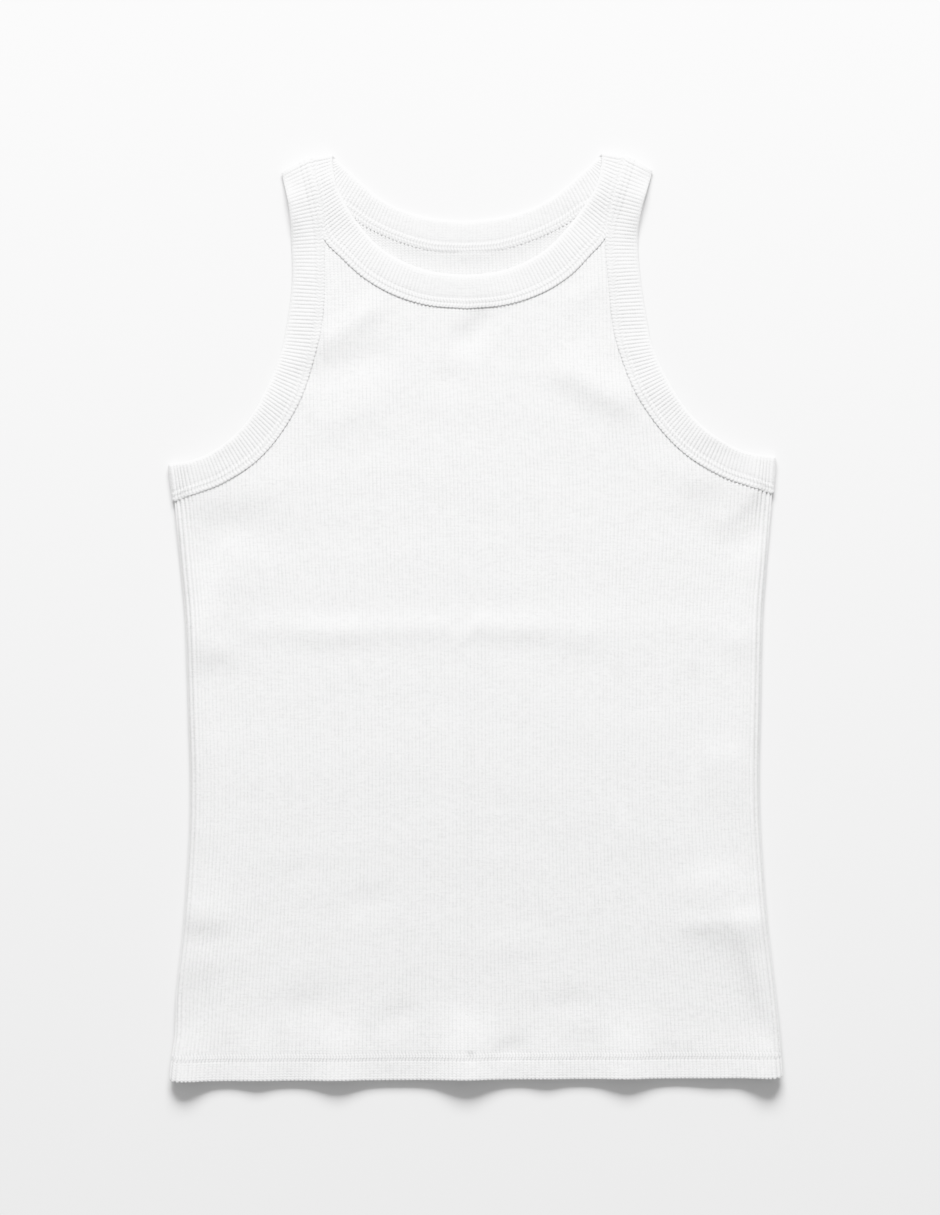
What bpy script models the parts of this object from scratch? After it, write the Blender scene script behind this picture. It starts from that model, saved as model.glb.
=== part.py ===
"""Rib-knit tank top laid flat, front up, on a level surface.

Axes: X across the shirt, Y from hem to shoulders, Z up from the surface it lies on.
The origin is the middle of the rectangle it covers, at the surface.
"""

import bmesh
import bpy
import numpy as np
from mathutils import Vector

MM = 0.001
NAME = "rib_knit_tank_top"

# Cloth, mm
PANEL_WALL = 1.0
BAND_WALL = 2.4
SEAM_GAP = 0.3
LAYER_GAP = 0.35

# Hem, mm: the panel's own wall turned up inside
HEM_Y = -288.25
HEM_DEPTH = 17.0
HEM_TURN_GAP = 0.5

# Levels of the front layer's middle over the surface, mm
LEVEL_BODY = 1.0 + LAYER_GAP + 0.5
LEVEL_HEM = 2.5 + LAYER_GAP + 2.0
LEVEL_BANDS = 2.4 + LAYER_GAP + 1.2
CUSHION = 0.8
SIDE_ROLL = 7.0
STRAP_LOFT = 1.8

# Half width of the body at each height, mm
SIDE = (  # y, half_width
    (-288.25, 191.3),
    (-252.0, 188.7),
    (-220.0, 185.4),
    (-189.0, 181.9),
    (-158.0, 179.6),
    (-126.0, 177.8),
    (-95.0, 177.5),
    (-64.0, 178.0),
    (-33.0, 178.8),
    (0.0, 180.1),
    (30.0, 182.6),
    (60.0, 186.0),
    (77.0, 187.4),
)

# Right half of each band: its free edge and the edge sewn to the panel, mm.
# The neckband runs from the middle to the shoulder fold, an armhole band from
# the shoulder fold to the fold under the arm.
NECK_FRONT = (  # free_x, free_y, sewn_x, sewn_y
    (0.0, 214.0, 0.0, 194.5),
    (20.0, 216.2, 24.0, 196.5),
    (37.0, 221.8, 45.0, 203.0),
    (52.0, 230.8, 63.0, 213.5),
    (63.5, 242.0, 77.0, 226.8),
    (72.0, 253.0, 87.8, 239.5),
    (80.4, 268.0, 92.3, 261.0),
    (84.0, 287.4, 98.0, 285.2),
)
NECK_BACK = (  # free_x, free_y, sewn_x, sewn_y
    (0.0, 248.0, 0.0, 229.0),
    (20.0, 250.0, 21.0, 230.5),
    (38.0, 254.5, 42.0, 235.0),
    (53.0, 262.0, 60.0, 243.5),
    (64.0, 270.8, 73.5, 253.8),
    (73.4, 278.8, 85.2, 262.0),
    (84.0, 287.4, 98.0, 285.2),
)
NECK_TIP = 5
ARM_FRONT = (  # free_x, free_y, sewn_x, sewn_y
    (115.8, 276.8, 98.0, 285.2),
    (110.4, 256.0, 92.3, 261.0),
    (108.5, 238.0, 87.8, 239.5),
    (109.0, 212.0, 87.6, 210.5),
    (112.8, 184.0, 90.6, 183.0),
    (116.6, 167.0, 95.3, 163.5),
    (124.3, 148.4, 104.6, 138.0),
    (134.8, 129.7, 119.5, 114.8),
    (147.5, 115.6, 136.0, 98.0),
    (163.0, 105.0, 156.0, 85.6),
    (177.0, 99.0, 173.5, 79.5),
    (187.6, 96.0, 186.0, 77.4),
)
ARM_BACK = (  # free_x, free_y, sewn_x, sewn_y
    (115.8, 276.8, 98.0, 285.2),
    (104.5, 252.5, 85.2, 262.0),
    (99.5, 232.0, 77.8, 236.0),
    (98.0, 210.0, 76.4, 210.0),
    (100.5, 186.0, 79.4, 182.0),
    (107.5, 162.0, 87.0, 154.0),
    (119.0, 139.0, 101.0, 125.5),
    (134.0, 120.5, 120.5, 102.0),
    (152.0, 107.0, 143.5, 87.0),
    (172.0, 98.8, 169.0, 78.8),
    (187.6, 96.0, 186.0, 77.4),
)
ARM_FRONT_TIP = 2
ARM_BACK_TIP = 1

# Folds in the front layer, mm: soft ridges along a line, troughs where rise < 0
FOLDS = (  # x0, y0, x1, y1, rise, half_width
    (-3.8, -270.0, -1.2, 100.0, 0.8, 6.0),
    (-150.0, -6.5, 95.0, -7.5, 1.0, 8.0),
    (-94.7, 172.6, -58.5, 196.4, 1.0, 9.0),
    (-94.0, 123.0, -62.0, 134.5, 0.7, 9.0),
    (53.0, 167.5, 97.0, 141.0, 1.1, 11.0),
    (-146.5, 49.0, -163.5, 1.0, 1.3, 8.0),
    (171.0, 75.0, 148.0, 46.0, 1.0, 8.0),
    (186.0, 60.0, 165.0, 31.0, -0.8, 7.0),
    (140.0, -187.0, 181.0, -185.0, 1.6, 9.0),
    (176.0, -202.0, 186.0, -250.0, 2.0, 8.0),
    (-178.0, -184.0, -160.0, -183.0, 1.0, 9.0),
    (-183.0, -215.0, -186.0, -242.0, 1.0, 8.0),
)

# Waves of the front hem, mm: crests that die away up the body
CRESTS = (  # x, rise, half_width, reach
    (-180.0, 5.2, 10.0, 45.0),
    (-137.0, 1.8, 9.0, 30.0),
    (-86.0, 4.4, 15.0, 48.0),
    (-4.0, 6.6, 16.0, 55.0),
    (43.0, 1.2, 8.0, 30.0),
    (94.0, 4.8, 14.0, 48.0),
    (154.0, 2.0, 9.0, 30.0),
    (183.0, 6.2, 9.0, 45.0),
)

# Mesh fineness
HEM_ROWS = (HEM_Y, HEM_Y + 0.5 * HEM_DEPTH, HEM_Y + HEM_DEPTH)
FRONT_ROWS = (-258.0, -238.0, -205.0, -160.0, -100.0, -45.0, -20.0, -10.0, -2.0, 8.0, 24.0, 50.0)
BACK_ROWS = (-225.0, -160.0, -95.0, -30.0, 50.0)
FRONT_TOP = (0.22, 0.44, 0.66, 0.85, 1.0)
BACK_TOP = (0.35, 0.7, 1.0)
TIP_SHARE = 0.29
STEPS = 2
TURN_STEPS = 3
FOLD_STEPS = 5


def smooth_step(value, low, high):
    """0 below low, 1 above high, an S-shaped rise between."""
    t = np.clip((value - low) / (high - low), 0.0, 1.0)
    return t * t * (3.0 - 2.0 * t)


def through(table, count):
    """Rows of a smooth curve through every row of a table, count steps between rows."""
    rows = np.array(table, float)
    padded = np.vstack((2 * rows[0] - rows[1], rows, 2 * rows[-1] - rows[-2]))
    out = []
    for before, start, end, after in zip(padded, padded[1:], padded[2:], padded[3:]):
        bend = 2 * before - 5 * start + 4 * end - after
        twist = -before + 3 * start - 3 * end + after
        for t in np.arange(count) / count:
            out.append(start + 0.5 * t * (end - before + t * (bend + t * twist)))
    out.append(rows[-1])
    return np.array(out)


def band_run(table, tip):
    """Rows of a band, its curve broken at the panel's tip so that the strap seam is shared."""
    return np.vstack((through(table[: tip + 1], STEPS)[:-1], through(table[tip:], STEPS)))


def half_width(y):
    """Half the body's width at height y."""
    side = through(SIDE, 4)
    return np.interp(y, side[:, 0], side[:, 1])


def set_askew(points):
    """The shirt lies a little askew: its middle leans left going up, its right side higher."""
    x, y = points[..., 0], points[..., 1]
    lean = 1.6 * np.clip((y + 290.0) / 350.0, 0.0, 1.0) + 4.0 * smooth_step(y, 60.0, 180.0)
    tilt = 0.006 + 0.007 * np.exp(-(((y - 85.0) / 60.0) ** 2))
    return np.dstack((x - lean, y + x * tilt, points[..., 2]))


def folds_height(x, y):
    """Rise of the folds: a bell across each line, dying away past its ends."""
    total = np.zeros_like(x)
    for x0, y0, x1, y1, rise, width in FOLDS:
        length = np.hypot(x1 - x0, y1 - y0)
        ux, uy = (x1 - x0) / length, (y1 - y0) / length
        run = (x - x0) * ux + (y - y0) * uy
        off = (y - y0) * ux - (x - x0) * uy
        past = run - np.clip(run, 0.0, length)
        total += rise * np.exp(-(off**2 + 0.6 * past**2) / width**2)
    return total


def crests_height(x, y):
    """Rise of the hem's waves."""
    total = np.zeros_like(x)
    for middle, rise, width, reach in CRESTS:
        total += rise * np.exp(-(((x - middle) / width) ** 2) - ((y - HEM_Y) / reach) ** 2)
    return total


def front_level(x, y):
    """Height of the middle of the front layer's wall over the surface."""
    level = LEVEL_BODY + (LEVEL_BANDS - LEVEL_BODY) * smooth_step(y, -60.0, 70.0)
    level += (LEVEL_HEM - LEVEL_BODY) * smooth_step(-y, 90.0, 268.0)
    inside = np.clip((half_width(y) - np.abs(x)) / SIDE_ROLL, 0.0, 1.0)
    roll = np.sqrt(1.0 - (1.0 - inside) ** 2)
    roll = np.maximum(roll, smooth_step(y, 74.0, 84.0))
    loft = CUSHION + folds_height(x, y) + crests_height(x, y)
    return level + loft * roll + STRAP_LOFT * smooth_step(y, 238.0, 281.0)


def back_panel_level(x, y):
    """The back panel lies on the surface."""
    return np.full_like(x, PANEL_WALL / 2)


def back_band_level(x, y):
    """The back of each band lies on the surface."""
    return np.full_like(x, BAND_WALL / 2)


def raised(plan, level):
    """Points of a plan, set at the height a level function gives."""
    x, y = plan[..., 0], plan[..., 1]
    return np.dstack((x, y, level(x, y)))


def cloth(name, points, wall, closed=False):
    """A cloth wall whose middle is a grid of points in mm: rows, columns, xyz."""
    rows, columns = points.shape[:2]
    flat = set_askew(points).reshape(-1, 3) * MM
    bm = bmesh.new()
    bmesh.ops.create_grid(bm, x_segments=rows - 1, y_segments=columns - 1, size=1.0)
    for vert in bm.verts:
        row = round((vert.co.x + 1.0) * 0.5 * (rows - 1))
        column = round((vert.co.y + 1.0) * 0.5 * (columns - 1))
        vert.co = Vector(flat[row * columns + column])
    if closed:
        bmesh.ops.remove_doubles(bm, verts=bm.verts[:], dist=0.00002)
    bmesh.ops.recalc_face_normals(bm, faces=bm.faces[:])
    mesh = bpy.data.meshes.new(name)
    bm.to_mesh(mesh)
    bm.free()
    piece = bpy.data.objects.new(name, mesh)
    thicken = piece.modifiers.new("wall", "SOLIDIFY")
    thicken.thickness = wall * MM
    thicken.offset = 0.0
    return piece


def seam_edge(run, inset):
    """The sewn edge moved off its seam line towards the band's free edge."""
    free, sewn = run[:, 0:2], run[:, 2:4]
    across = free - sewn
    return sewn + inset * across / np.linalg.norm(across, axis=1)[:, None]


def panel_top(neck_table, neck_tip, arm_table, arm_tip):
    """Upper edge of a panel's right half, from the middle of the neck to the underarm."""
    neck = seam_edge(band_run(neck_table, neck_tip)[: neck_tip * STEPS + 1], -SEAM_GAP / 2)
    arm = seam_edge(band_run(arm_table, arm_tip)[arm_tip * STEPS :], -SEAM_GAP / 2)
    edge = np.vstack((neck, arm[1:]))
    tip = len(neck) - 1
    point = np.array(neck_table[neck_tip][2:4])
    inward = 0.5 * (edge[tip - 1] + edge[tip + 1]) - point
    edge[tip] = point + 3.0 * SEAM_GAP * inward / np.linalg.norm(inward)
    edge[-1, 0] = half_width(edge[-1, 1])
    return edge


def panel_plan(edge, body_rows, top_rows):
    """Plan of a panel: rows from the hem up, columns from the left side to the right."""
    tip = int(np.argmax(edge[:, 1]))
    share = np.interp(np.arange(len(edge)), (0, tip, len(edge) - 1), (0.0, TIP_SHARE, 1.0))
    rows = []
    for y in HEM_ROWS + body_rows:
        rows.append(np.column_stack((share * half_width(y), np.full(len(edge), y))))
    start = rows[-1]
    for part in top_rows:
        rows.append(start + np.array((part**1.5, part)) * (edge - start))
    right = np.array(rows)
    left = right[:, :0:-1] * np.array((-1.0, 1.0))
    return np.concatenate((left, right), axis=1)


def panel(name, plan, level, hem_side):
    """A panel with its hem turned up: hem_side -1 puts it under the wall, 1 over it."""
    radius = 0.5 * (PANEL_WALL + HEM_TURN_GAP)
    body = raised(plan, level)
    turned_up = body[2:0:-1].copy()
    turned_up[..., 2] += hem_side * 2.0 * radius
    turn = []
    for angle in np.pi * np.arange(TURN_STEPS, 0, -1) / TURN_STEPS:
        row = body[0].copy()
        row[:, 1] -= radius * np.sin(angle)
        row[:, 2] += hem_side * radius * (1.0 - np.cos(angle))
        turn.append(row)
    return cloth(name, np.concatenate((turned_up, turn, body)), PANEL_WALL)


def front_panel():
    """Front panel, its hem turned up underneath."""
    edge = panel_top(NECK_FRONT, NECK_TIP, ARM_FRONT, ARM_FRONT_TIP)
    return panel("front_panel", panel_plan(edge, FRONT_ROWS, FRONT_TOP), front_level, -1.0)


def back_panel():
    """Back panel, flat on the surface, its hem turned up on top."""
    edge = panel_top(NECK_BACK, NECK_TIP, ARM_BACK, ARM_BACK_TIP)
    return panel("back_panel", panel_plan(edge, BACK_ROWS, BACK_TOP), back_panel_level, 1.0)


def band_plan(table, tip, side):
    """Plan of a band: each row runs from its free edge to its sewn edge."""
    run = band_run(table, tip)
    plan = np.stack((run[:, 0:2], seam_edge(run, SEAM_GAP / 2)), axis=1)
    return plan * np.array((side, 1.0))


def turned_over(from_row, to_row):
    """Rows of a half turn between two rows that lie one over the other."""
    along = from_row[1, 0:2] - from_row[0, 0:2]
    out = np.array((-along[1], along[0])) / np.hypot(*along)
    if out @ (from_row[0, 0:2] - np.array((0.0, 100.0))) < 0.0:
        out = -out
    middle, half = 0.5 * (from_row + to_row), 0.5 * (from_row - to_row)
    rows = []
    for angle in np.pi * np.arange(1, FOLD_STEPS) / FOLD_STEPS:
        row = middle + half * np.cos(angle)
        row[:, 0:2] += np.abs(half[:, 2:3]) * np.sin(angle) * out
        rows.append(row)
    return np.array(rows)


def ring(name, front, back):
    """A closed band from its front rows and back rows, folded over at both ends."""
    rows = (front, turned_over(front[-1], back[0]), back, turned_over(back[-1], front[0]))
    return cloth(name, np.concatenate(rows + (front[:1],)), BAND_WALL, closed=True)


def neckband():
    """Ring round the neck, folded over at both shoulders."""
    front_half = band_plan(NECK_FRONT, NECK_TIP, 1.0)
    back_half = band_plan(NECK_BACK, NECK_TIP, 1.0)
    mirror = np.array((-1.0, 1.0))
    front = np.concatenate((front_half[:0:-1] * mirror, front_half))
    back = np.concatenate((back_half[::-1], back_half[1:] * mirror))
    return ring("neckband", raised(front, front_level), raised(back, back_band_level))


def armhole_band(name, side):
    """Ring round one armhole, folded over at the shoulder and under the arm."""
    front = band_plan(ARM_FRONT, ARM_FRONT_TIP, side)
    back = band_plan(ARM_BACK, ARM_BACK_TIP, side)[::-1]
    return ring(name, raised(front, front_level), raised(back, back_band_level))


def cotton(name, colour, roughness):
    """White cotton rib knit: matt, with a little sheen."""
    material = bpy.data.materials.new(name)
    material.use_nodes = True
    shader = material.node_tree.nodes["Principled BSDF"]
    shader.inputs["Base Color"].default_value = (*colour, 1.0)
    shader.inputs["Roughness"].default_value = roughness
    shader.inputs["Sheen Weight"].default_value = 0.15
    return material


def build():
    """Every piece of the shirt, in one collection."""
    for old in list(bpy.data.objects):
        bpy.data.objects.remove(old, do_unlink=True)
    shirt = bpy.data.collections.new(NAME)
    bpy.context.scene.collection.children.link(shirt)
    panel_cloth = cotton("panel_rib_knit", (0.86, 0.86, 0.855), 0.9)
    band_cloth = cotton("band_rib_knit", (0.87, 0.87, 0.865), 0.88)
    pieces = (
        (front_panel(), panel_cloth),
        (back_panel(), panel_cloth),
        (neckband(), band_cloth),
        (armhole_band("armhole_band_left", -1.0), band_cloth),
        (armhole_band("armhole_band_right", 1.0), band_cloth),
    )
    for piece, material in pieces:
        piece.data.materials.append(material)
        shirt.objects.link(piece)


build()
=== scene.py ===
import bpy
import numpy as np
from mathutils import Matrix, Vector


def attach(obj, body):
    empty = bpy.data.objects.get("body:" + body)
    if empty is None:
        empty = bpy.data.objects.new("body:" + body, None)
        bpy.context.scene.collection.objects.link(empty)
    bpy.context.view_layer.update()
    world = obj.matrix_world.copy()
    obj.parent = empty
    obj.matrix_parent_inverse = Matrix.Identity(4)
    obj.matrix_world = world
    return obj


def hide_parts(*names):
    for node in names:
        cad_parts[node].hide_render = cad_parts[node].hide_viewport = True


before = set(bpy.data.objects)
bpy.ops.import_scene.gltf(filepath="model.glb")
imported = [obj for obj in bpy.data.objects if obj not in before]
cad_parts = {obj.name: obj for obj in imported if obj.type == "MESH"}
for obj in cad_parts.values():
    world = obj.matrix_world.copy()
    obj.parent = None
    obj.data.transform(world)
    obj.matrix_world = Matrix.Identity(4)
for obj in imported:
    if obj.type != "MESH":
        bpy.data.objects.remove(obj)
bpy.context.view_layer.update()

# Looks of a white rib-knit tank top laid flat on a pale floor. Sizes are in mm unless named _M.
# X runs across the shirt, Y from hem to shoulders, Z up from the floor.

MM = 0.001

# Cloth
PANEL_WALL = 0.8
BAND_WALL = 2.0
RIBS = 156
RIB_COLUMNS = 4
RIB_PITCH = 2.38
BAND_RIB_ROWS = 5
PANEL_RELIEF = 0.45
BAND_RELIEF = 0.46
BAND_CREST = 5.0  # sharpness of a band's rib
FREE_ROUND = 3.4  # how far in a band's free edge is rounded
GATHER = 0.6
SPREAD = 0.2
THINNER = 0.35
GROOVE_LEVEL = 0.6  # the share of a rib's height that keeps the cloth's own thickness
CHEST_DRAW = 3.6

# Hem
HEM_Y = -288.25
HEM_DEPTH = 17.8
HEM_TURN = 0.43
CORNER_BEND = 1.3
NEEDLE_UPPER = 16.6
NEEDLE_LOWER = 11.7
HEM_STITCHES = 14.3  # middle of the cover stitch, over the hem's edge
TURN_ANGLES = (155.0, 125.0, 90.0, 55.0, 25.0)

# Levels of the front layer's middle over the floor
LEVEL_BODY = 1.5
LEVEL_BANDS = 3.1
LOWER_RISE = 1.6
MIDDLE_RISE = 1.9
HEM_RISE = 0.4
CUSHION = 0.5
STRAP_LOFT = 1.3
STRAP_DROP = 1.2
LEVEL_UNDER_ARM = 3.4
HANGS_TO = 1.1
PRESSED_TO = 2.0
SIDE_ARC = 6.6
SIDE_REACH = 5.6
SIDE_LOFT = 2.4
SIDE_IN = 8.5
SEAM_HEIGHT = 0.95
SEAM_HEM_RISE = 0.9
SEAM_ARM_RISE = 1.6
CORNER_CURL = 2.6

# Places up the shirt, as y where a change begins and where it is complete
CHEST = (82.0, 165.0)
BESIDE_STRAP = (120.0, 200.0)
STRAP_ENDS = (244.0, 266.0)
SHOULDER_CORNER = (260.0, 278.0)
UNDER_ARM = (96.0, 122.0)

# How the shirt lies askew
LEAN_BODY = 1.6
LEAN_CHEST = 4.0
LEAN_STRAPS = 1.5
TILT = 0.006
TILT_ARMS = 0.007
HEM_NIP = 1.6

# Bands turned over at the shoulders and under the arms
SHIRT_MIDDLE = (0.0, 100.0)
TURN_STEPS = 16

# Seams
TUCK = 1.2  # how far a panel's upper edge runs into the bands
NECK_TUCK_FRONT = 1.6
NECK_TUCK_BACK = 1.2
BAND_STITCHES = 3.4  # middle of the cover stitch, from the band's sewn edge
NEEDLE_OUTER = 6.3
NEEDLE_INNER = 3.3

# Rows of the front panel over the hem's edge, and where rows crowd up to the bands
NEAR_HEM = (
    0.0, 0.8, 2.0, 4.0, 6.5, 8.6, 10.1, 10.8, 11.3, 11.8, 12.4, 13.2,
    14.1, 15.0, 15.7, 16.3, 16.9, 17.6, 18.6, 20.2, 22.5, 26.0,
)
NEAR_HEM_BACK = (0.0, 1.0, 3.0, 10.0, 12.0, 12.8, 13.6, 15.0, 16.2, 17.0, 17.8, 19.0, 24.0)
LAST_EVEN_SHARE = 0.93
LAST_SHARES = (0.945, 0.96, 0.972, 0.984, 0.993, 1.0)

SIDE = (  # y, half_width
    (-288.25, 191.3),
    (-252.0, 188.7),
    (-220.0, 185.4),
    (-189.0, 181.9),
    (-158.0, 179.6),
    (-126.0, 177.8),
    (-95.0, 177.5),
    (-64.0, 178.3),
    (-33.0, 179.1),
    (0.0, 180.1),
    (30.0, 182.6),
    (60.0, 185.2),
    (77.0, 186.7),
)

# Right half of each band: its free edge and the edge sewn to the panel.
NECK_FRONT = (  # free_x, free_y, sewn_x, sewn_y
    (0.0, 214.0, 0.0, 194.5),
    (20.0, 216.2, 24.0, 196.5),
    (37.0, 221.8, 45.0, 203.0),
    (52.0, 230.8, 63.0, 213.5),
    (63.1, 242.0, 77.0, 226.8),
    (71.6, 253.0, 87.8, 239.5),
    (80.4, 268.0, 92.3, 261.0),
    (83.6, 280.5, 96.4, 274.6),
    (84.2, 289.4, 99.0, 287.0),
)
NECK_BACK = (  # free_x, free_y, sewn_x, sewn_y
    (0.0, 248.0, 0.0, 229.0),
    (20.0, 250.0, 21.0, 230.5),
    (38.0, 254.5, 42.0, 236.4),
    (53.0, 262.0, 60.0, 244.6),
    (64.0, 270.8, 73.5, 253.8),
    (73.6, 279.4, 85.2, 262.0),
    (81.8, 287.2, 99.0, 286.6),
)
NECK_TIP = 5
ARM_FRONT = (  # free_x, free_y, sewn_x, sewn_y
    (116.0, 278.4, 99.0, 287.0),
    (110.4, 256.0, 92.3, 261.0),
    (108.5, 238.0, 87.9, 239.5),
    (109.0, 212.0, 88.2, 210.5),
    (112.8, 184.0, 90.6, 183.0),
    (116.6, 167.0, 95.3, 163.5),
    (124.3, 148.4, 104.6, 138.0),
    (134.8, 129.7, 119.5, 114.8),
    (147.5, 115.6, 136.0, 98.0),
    (163.0, 105.0, 156.0, 85.6),
    (176.6, 100.0, 173.0, 79.3),
    (188.8, 98.6, 186.4, 74.6),
)
ARM_BACK = (  # free_x, free_y, sewn_x, sewn_y
    (116.0, 278.4, 99.0, 287.0),
    (104.5, 252.5, 85.2, 262.0),
    (99.5, 232.0, 77.8, 236.0),
    (98.0, 210.0, 76.4, 210.0),
    (100.5, 186.0, 79.4, 182.0),
    (107.5, 162.0, 87.0, 154.0),
    (119.0, 139.0, 101.0, 125.5),
    (134.0, 120.5, 120.5, 102.0),
    (152.0, 107.0, 143.5, 87.0),
    (172.0, 99.4, 169.0, 78.8),
    (188.8, 98.6, 186.4, 74.6),
)
ARM_FRONT_TIP = 2
ARM_BACK_TIP = 1

# How fast a fold dies away past its ends
PAST_END = 0.6

# Folds of the front layer: soft ridges along a line, troughs where rise < 0.
# Going from the first end to the second, width_left is on the left hand.
FOLDS = (  # x0, y0, x1, y1, rise, width_left, width_right
    (-87.5, 174.5, -62.0, 191.0, 1.5, 6.5, 7.0),
    (-93.0, 152.0, -58.0, 163.5, -1.1, 9.0, 9.0),
    (-86.5, 123.7, -64.0, 133.4, 0.9, 8.0, 8.0),
    (63.0, 152.0, 93.0, 134.3, 1.7, 13.0, 10.0),
    (75.0, 145.0, 90.0, 136.0, 0.7, 12.0, 8.0),
    (65.6, 197.0, 79.6, 205.0, 0.9, 6.0, 6.0),
    (1.0, 176.0, 7.0, 182.0, -1.8, 8.0, 8.0),
    (-13.0, 149.0, -10.0, 150.0, -0.8, 7.0, 8.0),
    (-186.0, 80.0, -154.0, 84.0, 3.5, 60.0, 24.0),
    (146.0, 85.0, 186.0, 79.0, 2.2, 60.0, 15.0),
    (157.6, 59.0, 180.8, 81.5, 1.3, 12.0, 7.0),
    (169.6, 44.5, 190.0, 64.0, -0.9, 8.0, 8.0),
    (-168.0, -10.0, -152.0, 38.0, 2.5, 11.0, 24.0),
    (-164.0, -21.0, -160.0, -20.0, 0.6, 6.0, 6.0),
    (-136.0, -8.0, -112.0, -7.0, 0.8, 8.0, 7.0),
    (-101.0, -7.0, -82.0, -8.5, 1.3, 7.5, 9.0),
    (-70.0, -6.5, -9.0, -5.5, 1.1, 7.5, 7.5),
    (8.0, -7.5, 30.0, -7.0, 1.3, 8.0, 8.0),
    (46.0, -8.0, 70.0, -9.5, 1.0, 8.0, 9.0),
    (82.0, -6.5, 150.0, -5.0, 0.35, 8.0, 8.0),
    (-9.0, -16.0, 3.0, -3.0, 0.8, 3.2, 3.2),
    (-10.0, -4.0, -6.0, -4.0, -0.7, 3.5, 4.0),
    (163.0, -14.0, 176.0, -12.0, 0.8, 7.0, 9.0),
    (-3.5, -270.0, -2.8, -22.0, 0.95, 2.1, 2.1),
    (-5.5, -125.0, -3.0, -60.0, 0.35, 2.4, 2.4),
    (-1.5, 10.0, -0.5, 110.0, 0.3, 3.0, 3.0),
    (92.0, -118.0, 90.5, -36.0, -0.9, 2.6, 2.6),
    (137.0, -94.0, 136.5, -36.0, -1.2, 2.8, 2.8),
    (150.0, -92.0, 156.0, -90.0, 1.1, 9.0, 26.0),
    (142.0, -168.0, 150.0, -165.0, 1.2, 9.0, 26.0),
    (148.0, -188.0, 187.0, -187.0, 1.3, 45.0, 16.0),
    (174.0, -189.0, 190.0, -188.0, 1.2, 30.0, 50.0),
    (168.0, -200.0, 188.0, -250.0, 2.4, 14.0, 9.0),
    (133.0, -193.0, 178.0, -189.0, 0.8, 3.5, 3.5),
    (-182.0, -187.0, -164.0, -187.0, 1.9, 22.0, 9.0),
    (-184.0, -217.0, -172.0, -215.0, 1.3, 14.0, 12.0),
    (-110.0, -243.0, -104.0, -241.0, -1.1, 8.0, 9.0),
    (-52.0, -250.0, -46.0, -248.0, -1.1, 8.0, 8.0),
    (-71.0, -178.0, -62.0, -176.0, -0.5, 7.0, 7.0),
    (-118.0, -165.0, -110.0, -159.0, -0.5, 7.0, 8.0),
    (59.0, -241.0, 64.0, -240.0, -0.9, 8.0, 8.0),
    (22.0, -204.0, 30.0, -201.0, 0.4, 7.0, 8.0),
    (20.0, -270.0, 24.0, -269.0, -0.9, 6.0, 6.0),
)

# Waves of the front hem: crests that die away up the body
WAVE_FOOT = 0.32
WAVE_BODY = 0.68
WAVE_REACH = 0.85
CRESTS = (  # x, rise, half_width, how far up the body it reaches
    (-181.0, 3.9, 13.0, 44.0),
    (-137.0, 1.9, 10.0, 44.0),
    (-86.5, 4.0, 14.0, 54.0),
    (-6.0, 6.2, 16.0, 56.0),
    (44.0, 1.6, 10.0, 46.0),
    (94.5, 4.6, 14.0, 52.0),
    (150.0, 1.4, 14.0, 46.0),
    (181.0, 4.8, 14.0, 46.0),
)

# Where the points of a band's cross-section lie, from its free edge and from its sewn edge
FROM_FREE = (0.0, 0.2, 0.8, 2.0, 3.8)
FROM_SEWN = (8.4, 7.6, 6.8, 6.3, 5.8, 5.0, 4.2, 3.7, 3.3, 2.9, 2.2, 1.5, 0.9, 0.45, 0.15)

# Shading of the knit
MATH = "ShaderNodeMath"
NOISE = "ShaderNodeTexNoise"
FULL_TURN = 2.0 * np.pi
LOOP_SLANT = 1.1
LOOP_SHARE = 0.6
THREAD_RUN = 1.9
THREAD_LEAN = 4.4
THREAD_SHADE = 0.75
PIT_SHADE = 0.75

# Studio, in metres
FLOOR_HALF_M = 3.0
FLOOR_DROP_M = 0.0002
LAMP_SIZE_M = (2.2, 1.22)
LAMP_AT_M = (0.0, 2.90, 1.96)
LAMP_POWER = 227.0
ROOM_LIGHT = 0.43
CAMERA_AT_M = (-0.0038, 0.0063, 3.0)
LENS = 142.0
SENSOR = 36.0
SEES_TO_M = 50.0
FILM_REACH = 2.5
FILM_WHITE = (2.2, 1.0)
FILM_CURVE = (  # light, brightness shown
    (0.3, 0.3),
    (0.6, 0.6),
    (0.8, 0.745),
    (0.97, 0.835),
    (1.15, 0.905),
    (1.3, 0.95),
    (1.42, 0.974),
    (1.6, 0.99),
)


def smooth_step(value, low, high):
    """0 below low, 1 above high, and 3t^2 - 2t^3 between."""
    t = np.clip((value - low) / (high - low), 0.0, 1.0)
    return t * t * (3.0 - 2.0 * t)


def bell(distance, width):
    """exp(-(distance / width)^2)."""
    return np.exp(-((distance / width) ** 2))


def spline(table, at):
    """Catmull-Rom curve through the rows of a table; at counts rows from the first."""
    rows = np.array(table, float)
    padded = np.vstack((2 * rows[0] - rows[1], rows, 2 * rows[-1] - rows[-2]))
    step = np.clip(np.floor(at).astype(int), 0, len(rows) - 2)
    t = (at - step)[:, None]
    before, start, end, after = (padded[step + k] for k in range(4))
    bend = 2 * before - 5 * start + 4 * end - after
    twist = -before + 3 * start - 3 * end + after
    return start + 0.5 * t * (end - before + t * (bend + t * twist))


def dense(table, per_row):
    """The spline of a table, sampled per_row times between rows."""
    return spline(table, np.linspace(0.0, len(table) - 1.0, per_row * (len(table) - 1) + 1))


SIDE_CURVE = dense(SIDE, 12)


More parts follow.
